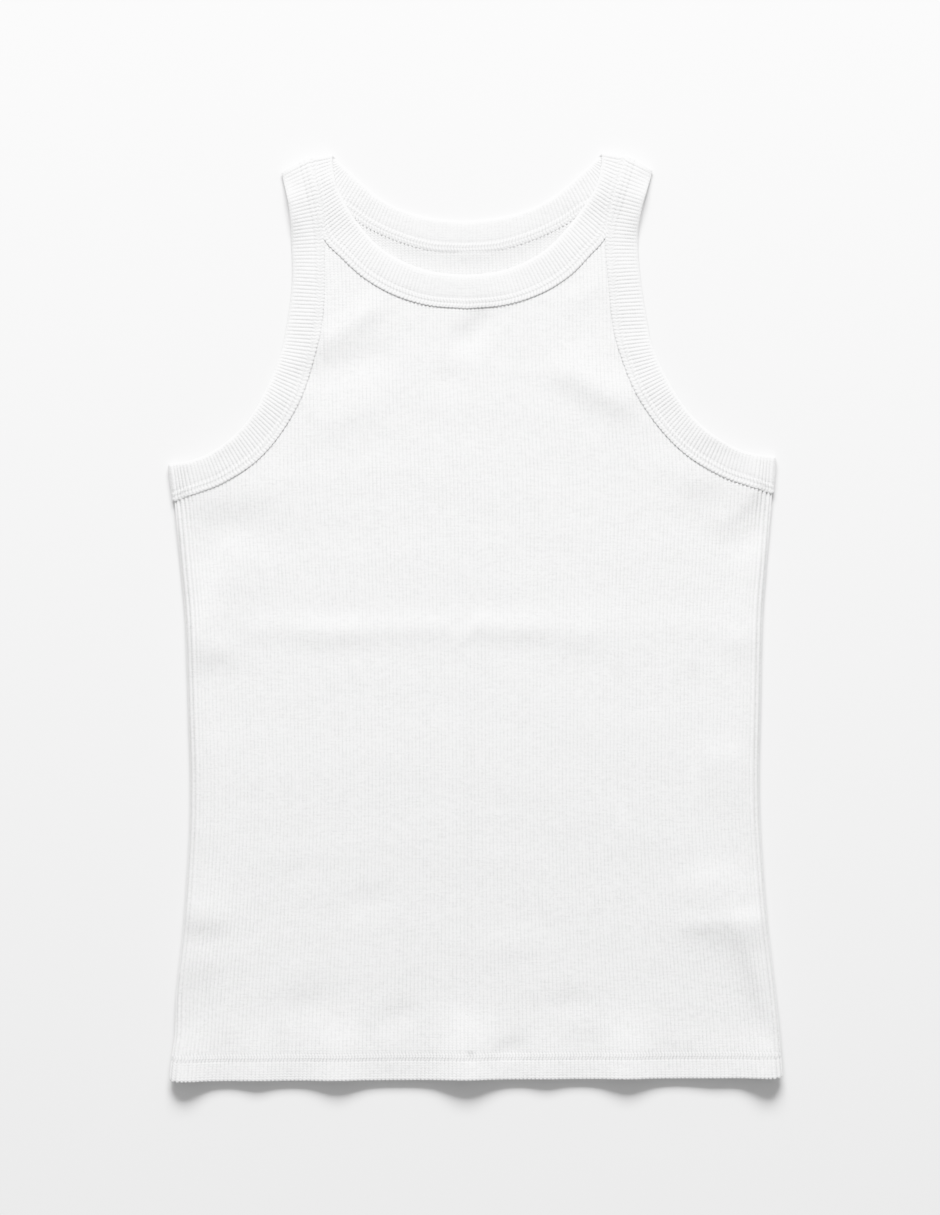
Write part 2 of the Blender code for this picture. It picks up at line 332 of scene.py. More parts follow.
def half_width(y):
    """Half the body's width at height y: the side curve, less up to CHEST_DRAW over the chest,
    where the ribs draw in."""
    body = np.interp(y, SIDE_CURVE[:, 0], SIDE_CURVE[:, 1])
    return body - CHEST_DRAW * smooth_step(y, *CHEST)


def set_askew(points):
    """The shirt lies a little askew: its middle leans left going up, its right side higher.

    x loses a straight ramp from hem to arms, a step over the chest and a bell at the straps. y gains
    a share of x, more at the arms. The left side is nipped in over the hem.
    """
    x, y = points[..., 0], points[..., 1]
    lean = LEAN_BODY * np.clip((y + 290.0) / 350.0, 0.0, 1.0) + LEAN_CHEST * smooth_step(y, 60.0, 180.0)
    lean = lean + LEAN_STRAPS * bell(y - 238.0, 24.0)
    tilt = TILT + TILT_ARMS * bell(y - 85.0, 60.0)
    nip = HEM_NIP * bell(y + 258.0, 14.0) * smooth_step(-x, 150.0, 190.0)
    return np.stack((x - lean + nip, y + x * tilt, points[..., 2]), axis=-1)


def folds_height(x, y, folds):
    """Sum of folds: each is its rise times a bell of the distance off its line, with a width of its
    own on either side, times a bell of the distance past its ends."""
    total = np.zeros_like(x)
    for x0, y0, x1, y1, rise, left, right in folds:
        length = np.hypot(x1 - x0, y1 - y0)
        ux, uy = (x1 - x0) / length, (y1 - y0) / length
        run = (x - x0) * ux + (y - y0) * uy
        off = (y - y0) * ux - (x - x0) * uy
        past = run - np.clip(run, 0.0, length)
        width = np.where(off > 0.0, left, right)
        total += rise * np.exp(-(off**2) / width**2 - PAST_END * past**2 / min(left, right) ** 2)
    return total


def crests_height(x, y):
    """Sum of the hem's waves: each a bell across x. Its share WAVE_FOOT is gone 16 above the hem's
    edge, and the rest, WAVE_BODY, fades from 12 above it to WAVE_REACH times the wave's reach."""
    total = np.zeros_like(x)
    for middle, rise, width, reach in CRESTS:
        foot = 1.0 - smooth_step(y - HEM_Y, -4.0, 16.0)
        body = 1.0 - smooth_step(y - HEM_Y, 12.0, WAVE_REACH * reach)
        total += rise * bell(x - middle, width) * (WAVE_FOOT * foot + WAVE_BODY * body)
    return total


def front_base(y):
    """Lowest height of the front layer's middle: a step from body to bands, a bell below the waist,
    and two steps up towards the hem."""
    level = LEVEL_BODY + (LEVEL_BANDS - LEVEL_BODY) * smooth_step(y, -260.0, 50.0)
    level = level + MIDDLE_RISE * bell(y + 92.0, 88.0)
    return level + LOWER_RISE * smooth_step(-y, 60.0, 292.0) + HEM_RISE * smooth_step(-y, 262.0, 294.0)


def front_level(x, y):
    """Height of the front layer's middle away from the side seams: base, cushion of air, folds,
    waves, ripples, the straps' rise and fall, and the loft beside the seams. In the corner under the
    arm it is pressed to LEVEL_UNDER_ARM."""
    loft = CUSHION + folds_height(x, y, FOLDS) + crests_height(x, y)
    strap = STRAP_LOFT * smooth_step(y, 238.0, 268.0) - STRAP_DROP * smooth_step(y, 271.0, 290.0)
    level = front_base(y) + loft + strap + ripples(x, y) + side_loft(x, y)
    under_arm = smooth_step(np.abs(x), 175.0, 188.0) * smooth_step(y, 44.0, 76.0)
    under_arm = under_arm * (1.0 - smooth_step(y, 110.0, 130.0))
    return level - under_arm * (level - LEVEL_UNDER_ARM)


def ripples(x, y):
    """Slight unevenness of cloth smoothed by hand: two sines along y, 0.07 and 0.10 high and a few
    cm long, whose phases wander with sines of x."""
    near = 0.07 * np.sin(y / 4.1 + 2.2 * np.sin(x / 31.0 + 0.6) + 1.1 * np.sin(x / 11.7 + y / 47.0))
    wide = 0.10 * np.sin(y / 9.3 - 1.7 * np.sin(x / 37.0 + 1.9) + x / 53.0)
    return near + wide


def side_loft(x, y):
    """The cloth stands up beside the side seams, where it is turned over: a bell SIDE_IN from the
    edge, SIDE_LOFT high, and 0.4 of that under the arm."""
    from_side = half_width(y) - np.abs(x)
    return SIDE_LOFT * bell(from_side - SIDE_IN, 10.0) * (1.0 - 0.6 * smooth_step(y, 20.0, 74.0))


def back_band_level(x, y):
    """The back of each band lies on the floor."""
    return np.full_like(x, BAND_WALL / 2)


def seam_level(y):
    """Height of the side seam over the floor, with a step up to the hem and one up to the arm."""
    at_hem = SEAM_HEM_RISE * smooth_step(-y, 200.0, 280.0)
    return SEAM_HEIGHT + at_hem + SEAM_ARM_RISE * smooth_step(y, 30.0, 72.0)


def corner_lift(x, y):
    """Both layers curl off the floor at the lower corners: CORNER_CURL times a step outward, times
    a step down over the first 60 above the hem."""
    return CORNER_CURL * smooth_step(np.abs(x), 150.0, 191.0) * (1.0 - smooth_step(y - HEM_Y, 0.0, 60.0))


def rib_height(phase, sharpness=3.0):
    """Height of a rib, 0 in its groove and 1 on its crest: 1 - |2p|^sharpness, p from -0.5 to 0.5."""
    p = np.mod(phase, 1.0) - 0.5
    return 1.0 - np.abs(2.0 * p) ** sharpness


def grid_normals(points, closed=False):
    """Unit normals of a grid: the cross product of its column step and its row step."""
    across = np.gradient(points, axis=1)
    if closed:
        along = np.roll(points, -1, axis=0) - np.roll(points, 1, axis=0)
    else:
        along = np.gradient(points, axis=0)
    normal = np.cross(across, along)
    return normal / np.maximum(np.linalg.norm(normal, axis=2, keepdims=True), 1e-9)


def grid_faces(rows, columns, first=0, close_rows=False, close_columns=False):
    """Four-sided faces of a grid of vertices numbered row by row."""
    row = np.arange(rows if close_rows else rows - 1)[:, None]
    column = np.arange(columns if close_columns else columns - 1)[None, :]
    up, right = (row + 1) % rows, (column + 1) % columns
    corners = (row * columns + column, row * columns + right, up * columns + right, up * columns + column)
    return np.stack(corners, axis=-1).reshape(-1, 4) + first


def make_piece(name, points, faces, material, slot, nodes, knit, stitch, smooth=None):
    """A smooth mesh from points in mm, pressed flat where it rests, riding on the shirt's one body.

    Only the first faces, as many as smooth says, are shaded smooth.
    """
    mesh = bpy.data.meshes.new(name)
    resting = set_askew(points)
    resting[..., 2] = np.maximum(resting[..., 2], 0.0)
    mesh.from_pydata(resting * MM, [], faces)
    smooth = len(faces) if smooth is None else smooth
    mesh.polygons.foreach_set("use_smooth", np.arange(len(faces)) < smooth)
    for label, values in (("knit", knit), ("stitch", stitch)):
        layer = mesh.attributes.new(label, "FLOAT_VECTOR", "POINT")
        layer.data.foreach_set("vector", np.ascontiguousarray(values, dtype=np.float32).ravel())
    mesh.materials.append(material)
    mesh.update()
    piece = bpy.data.objects.new(name, mesh)
    bpy.context.scene.collection.objects.link(piece)
    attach(piece, "root")
    if nodes:
        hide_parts(*nodes)
    return piece


# Panels


def seam_limits(neck_table, neck_tip, arm_table, arm_tip, tuck):
    """The panel's upper edge as two arrays: rib coordinate s and height y, tucked into the bands.

    s is x over the half width, so -1 and 1 are the side seams. The tiny ramp keeps s rising.
    """
    runs = (dense(neck_table, 24)[: neck_tip * 24 + 1], dense(arm_table, 24)[arm_tip * 24 :])
    edges = []
    for run in runs:
        free, sewn = run[:, 0:2], run[:, 2:4]
        across = free - sewn
        edges.append(sewn + tuck * across / np.linalg.norm(across, axis=1)[:, None])
    edge = np.vstack(edges)
    s = np.maximum.accumulate(edge[:, 0] / half_width(edge[:, 1]))
    return s + 1e-6 * np.arange(len(s)), edge[:, 1]


def rib_columns():
    """Rib coordinate u of every column, from 0 at one side seam to RIBS at the other."""
    return np.linspace(0.0, RIBS, RIBS * RIB_COLUMNS + 1)


def side_roll(s, y):
    """Plan x and share of height of rib coordinate s, as the cloth rolls over at the side seam.

    Within SIDE_ARC of the seam the cloth follows a quarter ellipse: with a = 90 deg * q / SIDE_ARC
    it is SIDE_REACH * (1 - cos a) in from the side and sin a of the way up. Further in it is flat.
    """
    width = half_width(y)
    q = (1.0 - np.abs(s)) * (width + SIDE_ARC - SIDE_REACH)
    angle = 0.5 * np.pi * np.clip(q / SIDE_ARC, 0.0, 1.0)
    inward = np.where(q < SIDE_ARC, SIDE_REACH * (1.0 - np.cos(angle)), q - SIDE_ARC + SIDE_REACH)
    return np.sign(s) * (width - inward), np.sin(angle)


def panel_grid(limits, body_y, top_rows, base_level):
    """Middle surface of a panel: straight rows up to the armholes, then rows that share out the rest.

    Its height is the seam's, plus side_roll's share of the way from there to base_level. Along the
    hem's edge the ends of the rows bend up the shirt by CORNER_BEND, which rounds the corners.
    """
    s = 2.0 * rib_columns() / RIBS - 1.0
    top = np.interp(np.abs(s), *limits)
    body = np.repeat(body_y[:, None], len(s), axis=1)
    share = np.append(np.linspace(0.0, LAST_EVEN_SHARE, top_rows + 1)[1:], LAST_SHARES)[:, None]
    y = np.vstack((body, body_y[-1] + share * (top - body_y[-1])))
    s = np.broadcast_to(s, y.shape)
    y = y + CORNER_BEND * smooth_step(np.abs(s), 0.974, 1.0) * (1.0 - smooth_step(y - HEM_Y, 0.0, 12.0))
    x, up = side_roll(s, y)
    seam = seam_level(y) + corner_lift(x, y)
    z = seam + (base_level(x, y) - seam) * up
    return np.stack((x, y, z), axis=-1)


def with_hem(grid, side):
    """Rows of the turned-up hem before the panel's own rows; side is -1 under it, 1 over it.

    The inner layer is the panel's rows, off by twice HEM_TURN along the normal. The turn is half a
    circle: at angle a, HEM_TURN * (1 - cos a) off and HEM_TURN * sin a below the edge.
    """
    normal = grid_normals(grid)
    start, out = grid[0], normal[0]
    rows = []
    inner_at = np.searchsorted(grid[:, 0, 1], HEM_Y + np.array((HEM_DEPTH, 10.0, 3.0)))
    for k in inner_at:
        rows.append(grid[k] + side * 2.0 * HEM_TURN * normal[k])
    for angle in np.radians(TURN_ANGLES):
        row = start + side * HEM_TURN * (1.0 - np.cos(angle)) * out
        row[:, 1] -= HEM_TURN * np.sin(angle)
        rows.append(row)
    return np.concatenate((np.array(rows), grid))


def hem_relief(y):
    """Two needle lines pull the cloth in by bells 0.14 and 0.08 deep; between them it swells by 0.08."""
    up = y - HEM_Y
    lines = -0.14 * bell(up - NEEDLE_LOWER, 0.8) - 0.08 * bell(up - NEEDLE_UPPER, 0.8)
    return lines + 0.08 * bell(up - 14.2, 1.2)


def two_sided(name, grid, up_relief, down_relief, down_step, material, nodes):
    """Close a panel: upper skin, lower skin on every down_step-th column, and rims between them.

    Each skin is the middle, half the wall and its own relief away along the normal.
    """
    normal = grid_normals(grid)
    rows, columns = grid.shape[:2]
    upper = grid + normal * (PANEL_WALL / 2 + up_relief)[..., None]
    lower = (grid - normal * (PANEL_WALL / 2 + down_relief)[..., None])[:, ::down_step]
    few = lower.shape[1]
    first = rows * columns
    faces = grid_faces(rows, columns).tolist()
    faces += grid_faces(rows, few, first)[:, ::-1].tolist()
    smooth = len(faces)
    row = np.arange(rows - 1)
    left, low_left = row * columns, first + row * few
    faces += np.stack((left, left + columns, low_left + few, low_left), axis=1).tolist()
    right, low_right = left + columns - 1, low_left + few - 1
    faces += np.stack((right, low_right, low_right + few, right + columns), axis=1).tolist()
    cell = np.arange(few - 1)[:, None]
    span = np.arange(down_step + 1)[None, :]
    bottom = np.concatenate((first + cell, first + cell + 1, (cell * down_step + span)[:, ::-1]), axis=1)
    faces += bottom.tolist()
    last, low_last = (rows - 1) * columns, first + (rows - 1) * few
    top = np.concatenate((low_last + cell + 1, low_last + cell, last + cell * down_step + span), axis=1)
    faces += top.tolist()
    points = np.concatenate((upper.reshape(-1, 3), lower.reshape(-1, 3)))
    marks = [
        np.concatenate((values.reshape(-1, 3), values[:, ::down_step].reshape(-1, 3)))
        for values in (knit_marks(grid), hem_stitches(grid))
    ]
    return make_piece(name, points, faces, material, "panel_cloth", nodes, *marks, smooth)


def hem_stitches(grid):
    """For each point of a panel: mm along the hem, mm off the middle of its stitches, and how
    much of the stitching shows there."""
    off = np.abs(grid[..., 1] - HEM_Y - HEM_STITCHES)
    shown = 1.0 - smooth_step(off, 1.6, 3.4)
    return np.stack((grid[..., 0], off, shown), axis=-1)


def knit_marks(grid):
    """For each point: rib number, mm along the rib, and how deep it lies in a needle line, by which the
    material paints shade in the pits.
    """
    u = np.broadcast_to(rib_columns(), grid.shape[:2])
    steps = np.linalg.norm(np.diff(grid, axis=0), axis=2)
    course = np.concatenate((np.zeros((1, grid.shape[1])), np.cumsum(steps, axis=0)))
    up = grid[..., 1] - HEM_Y
    # painted shade in the hem's needle pits, carried to the material
    painted_pit_shade = (0.5 * bell(up - NEEDLE_LOWER, 0.5) + 0.2 * bell(up - NEEDLE_UPPER, 0.5)) * (1.0 - rib_height(u))
    return np.stack((u, course, painted_pit_shade), axis=-1)


def front_panel(material):
    """Front panel: ribs on its face, plain underneath, hem turned under.

    Relief: PANEL_RELIEF times rib height less GROOVE_LEVEL, up to 2.6 times as much on the ribs
    beside the side seams, plus the hem's relief, and none on the part turned under.
    """
    near_hem = HEM_Y + np.array(NEAR_HEM)
    body_y = np.concatenate((near_hem, np.linspace(-258.0, 60.0, 74)))
    limits = seam_limits(NECK_FRONT, NECK_TIP, ARM_FRONT, ARM_FRONT_TIP, TUCK)
    grid = with_hem(panel_grid(limits, body_y, 30, front_level), -1.0)
    u = np.broadcast_to(rib_columns(), grid.shape[:2])
    fade = np.ones(len(grid))
    fade[:6] = 0.0
    at_side = 1.0 + 1.6 * bell(np.minimum(u, RIBS - u) - 3.0, 2.4)
    ribs = PANEL_RELIEF * at_side * (rib_height(u) - GROOVE_LEVEL)
    relief = (ribs + hem_relief(grid[..., 1])) * fade[:, None]
    plain = np.zeros_like(relief)
    return two_sided("front_panel_cloth", grid, relief, plain, 8, material, ("front_panel",))


def back_flat(x, y):
    """The back panel's middle: half its wall over the floor, a rise of 0.8 up to the neck seam, one
    small ripple under it, and most of the lower corners' curl."""
    seam = np.interp(np.abs(x), *neck_seam_back())
    ripple = 0.35 * bell(x - 4.0, 11.0) * bell(y - 226.5, 3.0)
    rise = 0.5 * np.clip((y - seam + 10.0) / 10.0, 0.0, 1.0) ** 2 + 0.3 * smooth_step(y - seam, -40.0, 0.0)
    return PANEL_WALL / 2 + rise + ripple + 0.8 * corner_lift(x, y)


def neck_seam_back():
    """The back neck seam as x and y."""
    run = dense(NECK_BACK, 12)[: NECK_TIP * 12 + 1]
    return run[:, 2], run[:, 3]


def back_panel(material):
    """Back panel: ribs on both faces, lying on the floor, hem turned up on top.

    Each face has PANEL_RELIEF times rib height less a level. The lower face's ribs lie between the
    upper face's, and are cut into the wall, so that it rests on their crests.
    """
    near_hem = HEM_Y + np.array(NEAR_HEM_BACK)
    body_y = np.concatenate((near_hem, np.linspace(-255.0, 60.0, 22)))
    limits = seam_limits(NECK_BACK, NECK_TIP, ARM_BACK, ARM_BACK_TIP, TUCK)
    grid = with_hem(panel_grid(limits, body_y, 26, back_flat), 1.0)
    u = np.broadcast_to(rib_columns(), grid.shape[:2])
    upper = PANEL_RELIEF * (rib_height(u) - GROOVE_LEVEL)
    lower = PANEL_RELIEF * (rib_height(u + 0.5) - 1.0) + hem_relief(grid[..., 1])
    return two_sided("back_panel_cloth", grid, upper, lower, 1, material, ("back_panel",))


# Bands


def band_side(table, side, level, sink=None, widen=0.0):
    """Dense cross rows of one side of a band, each from free edge to sewn edge.

    sink(y, share, height) lowers a point at a share of the way from free edge to sewn edge.
    widen moves the sewn edge outward.
    """
    run = dense(table, 30)
    free, sewn = run[:, 0:2], run[:, 2:4]
    across = sewn - free
    sewn = sewn + widen * across / np.linalg.norm(across, axis=1)[:, None]
    share = np.linspace(0.0, 1.0, 9)[None, :, None]
    plan = (free[:, None] * (1.0 - share) + sewn[:, None] * share) * np.array((side, 1.0))
    height = level(plan[..., 0], plan[..., 1])
    if sink is not None:
        height = height - sink(plan[..., 1], share[..., 0], height)
    return np.dstack((plan, height))


def under_armhole_band(y, share, height):
    """The neckband's front stands up by 0.1 at its sewn edge; on the straps it lies 0.3 lower, its
    sewn edge under the armhole band. The height is not used."""
    on_strap = smooth_step(y, 232.0, 250.0)
    return 0.3 * on_strap - 0.1 * (1.0 - on_strap) * share


def over_armhole_band(y, share, height):
    """On the back layer the neckband is the upper one, and on the straps it lies 0.3 higher. Only
    y is used."""
    return -0.3 * smooth_step(y, 252.0, 262.0)


def armhole_droop(y, share, height):
    """How far the front of an armhole band sinks. Each part fades from one edge to the other.

    The free edge hangs to HANGS_TO over the floor beside the back strap, springs up by 0.2 above
    that, is pressed down to PRESSED_TO at the shoulder's corner, and curls up by 0.4 to 1.5 under
    the arm. The sewn edge stands up by 0.1 below the strap, and is tucked down at the arm's end.
    """
    beside_strap = smooth_step(y, *BESIDE_STRAP)
    at_free = (1.0 - share) ** 2
    hang = beside_strap * (1.0 - smooth_step(y, 232.0, 252.0))
    spring = 0.2 * bell(y - 256.0, 10.0) * at_free
    press = smooth_step(y, *SHOULDER_CORNER) * (height - PRESSED_TO) * at_free
    curl = (0.4 + 1.1 * smooth_step(y, 97.0, 112.0)) * (1.0 - beside_strap) * at_free
    lift = 0.1 * (1.0 - smooth_step(y, 225.0, 245.0)) * share**2
    tuck = (0.15 * (1.0 - smooth_step(y, 78.0, 92.0)) + 0.4 * (1.0 - smooth_step(y, 75.0, 80.0))) * share**2
    return hang * (height - HANGS_TO) * (1.0 - share) ** 3 - curl - lift + tuck - spring + press


def turned_over(from_row, to_row, bulge=0.75):
    """Rows of a half turn between two rows that lie one over the other.

    Each point keeps the middle of its pair, goes cos a of half their distance in height and
    bulge * sin a of it outward, square to the row.
    """
    along = from_row[-1, 0:2] - from_row[0, 0:2]
    out = np.array((-along[1], along[0])) / np.hypot(*along)
    if out @ (from_row[0, 0:2] - np.array(SHIRT_MIDDLE)) < 0.0:
        out = -out
    angle = (np.pi * np.arange(1, TURN_STEPS) / TURN_STEPS)[:, None, None]
    middle, half = 0.5 * (from_row + to_row), 0.5 * (from_row - to_row)
    rows = middle + half * np.cos(angle)
    rows[..., 0:2] += bulge * np.abs(half[None, :, 2:3]) * np.sin(angle) * out
    return rows


def evenly(rows, turn):
    """Rows of a closed ring spaced evenly along its middle, and the rib count at each.

    Whole ribs fit the ring, and the part up to row number turn, so ribs meet across a strap.
    """
    loop = np.concatenate((rows, rows[:1]))
    middle = loop.mean(axis=1)
    travel = np.concatenate(((0.0,), np.cumsum(np.linalg.norm(np.diff(middle, axis=0), axis=1))))
    knots = travel[[0, turn, -1]]
    counts = np.round(knots / RIB_PITCH)
    phase = np.arange(int(counts[-1]) * BAND_RIB_ROWS) / BAND_RIB_ROWS
    at = np.interp(phase, counts, knots)
    flat = loop.reshape(len(loop), -1)
    picked = [np.interp(at, travel, flat[:, k]) for k in range(flat.shape[1])]
    return np.stack(picked, axis=1).reshape(len(at), -1, 3), phase


def needle_pits_and_shade(from_sewn, rib, on_strap):
    """Pits where a needle line crosses a groove, and at the sewn edge between ribs; 0 on the ribs.

    A bell on each needle line, 0.22 high and 0.55 on a strap, and one of 0.55 at the sewn edge, all
    times 1 less the rib's height. It sinks the band, and the material paints shade in the pits by it.
    """
    lines = bell(from_sewn - NEEDLE_INNER, 0.4) + bell(from_sewn - NEEDLE_OUTER, 0.45)
    lines = (0.22 + 0.33 * on_strap) * lines
    return (lines + 0.55 * bell(from_sewn - 0.4, 0.35)) * (1.0 - rib)


def braid(from_sewn, phase):
    """The cover stitch: two rows of slanting loops, leaning opposite ways. Each is a sine along the
    band that shifts with the distance from the sewn edge, under a bell."""
    upper = bell(from_sewn - 4.8, 0.8) * np.sin(2.0 * np.pi * (1.37 * phase + 0.35 * from_sewn))
    lower = bell(from_sewn - 2.0, 0.8) * np.sin(2.0 * np.pi * (1.37 * phase - 0.35 * from_sewn))
    return upper + lower


def band_profile(from_free, from_sewn, phase, on_strap, pressed, gather):
    """Half thickness of a band: rounded free edge, square sewn edge, ribs, and the stitched zone,
    swollen between two needle lines that pull it in, most where they cross a groove.

    Half the wall, plus BAND_RELIEF times rib height less GROOVE_LEVEL, weaker in the stitches and
    stronger where the band is gathered, plus the swell, less the pull; then times both edges'
    rounding and, where the band is pressed, down to half.
    """
    rib = rib_height(phase, BAND_CREST)
    round_edge = np.sqrt(1.0 - (1.0 - np.clip(from_free / FREE_ROUND, 0.0, 1.0)) ** 2.6)
    square_edge = np.sqrt(1.0 - (1.0 - np.clip(from_sewn / (1.0 - 0.5 * rib), 0.0, 1.0)) ** 2)
    swell = 0.14 * bell(from_sewn - 4.9, 0.9) + 0.14 * bell(from_sewn - 1.8, 0.9)
    lines = 0.2 * bell(from_sewn - 6.6, 0.9) + 0.08 * bell(from_sewn - NEEDLE_INNER, 0.4)
    pull = lines + 0.25 * needle_pits_and_shade(from_sewn, rib, on_strap) - 0.05 * braid(from_sewn, phase)
    in_stitches = bell(from_sewn - 3.0, 2.6) * (1.0 - on_strap)
    spread = smooth_step(from_free, 0.0, 3.8) * (1.0 - 0.7 * in_stitches) * (1.0 + gather)
    body = BAND_WALL / 2 + BAND_RELIEF * (rib - GROOVE_LEVEL) * spread + swell - pull
    return body * round_edge * square_edge * (1.0 - 0.5 * pressed)


def and_under(values):
    """Values across a band's top, then the same back along its underside."""
    return np.concatenate((values, values[:, ::-1][:, :-1]), axis=1)


def band_piece(name, rows, turn, material, nodes, stitched_over=0.0):
    """A band as a closed tube: cross-section carried along the ring, ribs across it.

    Top and underside are the middle plus and minus band_profile along the normal; near the sewn edge
    the underside is up to THINNER thinner. stitched_over is 1 where the band is sewn over its
    neighbour on the strap. Ribs are gathered under the arm and spread beside the strap.
    """
    middle, phase = evenly(rows, turn)
    width = np.linalg.norm(middle[:, -1] - middle[:, 0], axis=1)
    free = np.array(FROM_FREE)
    sewn = np.array(FROM_SEWN)
    between = free[-1] + (width[:, None] - sewn[0] - free[-1]) * np.array((1 / 3, 2 / 3))
    edge_side = np.broadcast_to(free, (len(phase), len(free)))
    from_free = np.concatenate((edge_side, between, width[:, None] - sewn), axis=1)
    share = from_free / width[:, None] * (middle.shape[1] - 1.0)
    cell = np.clip(np.floor(share).astype(int), 0, middle.shape[1] - 2)
    part = (share - cell)[..., None]
    index = np.arange(len(phase))[:, None]
    grid = middle[index, cell] * (1.0 - part) + middle[index, cell + 1] * part
    normal = grid_normals(grid, closed=True)
    if normal[: len(phase) // 4, :, 2].mean() < 0.0:
        normal = -normal
    from_sewn = width[:, None] - from_free
    y = grid[..., 1]
    on_strap = stitched_over * smooth_step(y, *STRAP_ENDS)
    at_corner = stitched_over * smooth_step(y, *SHOULDER_CORNER)
    pressed = at_corner * (from_sewn / width[:, None]) ** 2
    gather = GATHER - GATHER * smooth_step(y, *UNDER_ARM)
    gather = gather - SPREAD * stitched_over * smooth_step(y, 190.0, 225.0)
    outer = band_profile(from_free, from_sewn, phase[:, None], on_strap, pressed, gather)
    inner = np.maximum(outer - THINNER * (1.0 - smooth_step(from_sewn, 0.2, 3.4)), 0.0)
    top = grid + normal * outer[..., None]
    underside = (grid - normal * inner[..., None])[:, ::-1][:, :-1]
    points = np.concatenate((top, underside), axis=1)
    across = np.concatenate((from_free, (2 * width[:, None] - from_free[:, ::-1])[:, :-1]), axis=1)
    # painted shade in the needle pits, carried to the material
    painted_pit_shade = and_under(needle_pits_and_shade(from_sewn, rib_height(phase, BAND_CREST)[:, None], on_strap))
    marks = np.stack((np.broadcast_to(phase[:, None], across.shape), across, painted_pit_shade), axis=-1)
    off = np.abs(from_sewn - BAND_STITCHES)
    shown = (1.0 - smooth_step(off, 2.0, 3.6)) * (1.0 - 0.7 * on_strap)
    stitch = np.stack((np.broadcast_to(phase[:, None] * RIB_PITCH, off.shape), off, shown), axis=-1)
    stitch = and_under(stitch)
    faces = grid_faces(points.shape[0], points.shape[1], close_rows=True, close_columns=True)
    flat = points.reshape(-1, 3)
    corner = flat[faces[:, :3]]
    volume = np.einsum("ij,ij->i", corner[:, 0], np.cross(corner[:, 1], corner[:, 2])).sum()
    if volume < 0.0:
        faces = faces[:, ::-1]
    marks, stitch = marks.reshape(-1, 3), stitch.reshape(-1, 3)
    return make_piece(name, flat, faces.tolist(), material, "band_cloth", nodes, marks, stitch)


def neckband(material):
    """Ring round the neck, folded over at both shoulders."""
    left, right = (
        band_side(NECK_FRONT, side, front_level, under_armhole_band, NECK_TUCK_FRONT)
        for side in (-1.0, 1.0)
    )
    front = np.concatenate((left[:0:-1], right))
    left, right = (
        band_side(NECK_BACK, side, back_band_level, over_armhole_band, NECK_TUCK_BACK)
        for side in (-1.0, 1.0)
    )
    back = np.concatenate((right[::-1], left[1:]))
    rows = np.concatenate((front, turned_over(front[-1], back[0]), back, turned_over(back[-1], front[0])))
    return band_piece("neckband_cloth", rows, len(front), material, ("neckband",))


def armhole_band(hand, side, material):
    """Ring round one armhole, folded over at the shoulder and under the arm."""
    front = band_side(ARM_FRONT, side, front_level, armhole_droop)
    back = band_side(ARM_BACK, side, back_band_level)[::-1]
    under_arm = turned_over(front[-1], back[0], 0.4)
    rows = np.concatenate((front, under_arm, back, turned_over(back[-1], front[0])))
    node = f"armhole_band_{hand}"
    return band_piece(f"{node}_cloth", rows, len(front), material, (node,), 1.0)


# Materials


def linear(hex_colour):
    """sRGB hex to linear RGBA."""
    parts = np.array([int(hex_colour[k : k + 2], 16) / 255.0 for k in (1, 3, 5)])
    values = np.where(parts <= 0.04045, parts / 12.92, ((parts + 0.055) / 1.055) ** 2.4)
    return (*values.tolist(), 1.0)


def add_node(tree, kind, settings=None, inputs=None, links=None):
    """One node with its settings, socket values and incoming links (socket -> output)."""
    node = tree.nodes.new(kind)
    for key, value in (settings or {}).items():
        setattr(node, key, value)
    for key, value in (inputs or {}).items():
        node.inputs[key].default_value = value
    for key, output in (links or {}).items():
        tree.links.new(output, node.inputs[key])
    return node


